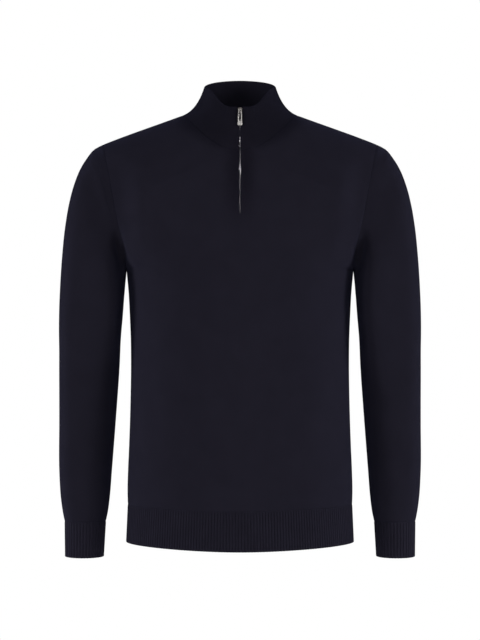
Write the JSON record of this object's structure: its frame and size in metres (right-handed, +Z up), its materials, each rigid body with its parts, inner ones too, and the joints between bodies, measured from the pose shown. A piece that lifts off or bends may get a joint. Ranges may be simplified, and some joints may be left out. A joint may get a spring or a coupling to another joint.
{
  "type": "quarter zip sweater",
  "caption": "Hollow worn-shape fine-knit pullover with a funnel collar, a short chest zip, set-in sleeves, and ribbed hem and cuffs.",
  "frame": {"origin": "between the high points of the two shoulder seams, at the neck base, where the wearer's shoulders hold the sweater", "axes": "+Z up, the front faces -Y, +X towards the wearer's left arm"},
  "size_m": [0.572, 0.2383, 0.7578],
  "materials": {
    "navy_knit": "fine jersey knit of merino wool, very dark navy",
    "navy_rib": "dense rib knit of merino wool, very dark navy",
    "zip_tape": "woven polyester tape, near black",
    "nickel": "polished nickel plate"
  },
  "bodies": {
    "sweater": {"front": "navy_knit", "back": "navy_knit", "sleeve_left": "navy_knit", "sleeve_right": "navy_knit", "collar": "navy_rib", "hem_rib_front": "navy_rib", "hem_rib_back": "navy_rib", "cuff_left": "navy_rib", "cuff_right": "navy_rib", "zip_tape_left": "zip_tape", "zip_tape_right": "zip_tape", "zip_chain": "nickel", "zip_bottom_stop": "nickel", "zip_slider": "nickel"},
    "pull_tab": {"zip_pull": "nickel"}
  },
  "joints": [
    {"name": "pull_tab_hinge", "type": "hinge", "parent": "sweater", "child": "pull_tab", "pos_m": [0, -0.07703, -0.00002], "axis": [-1, 0, 0], "range_deg": [0, 165]}
  ]
}
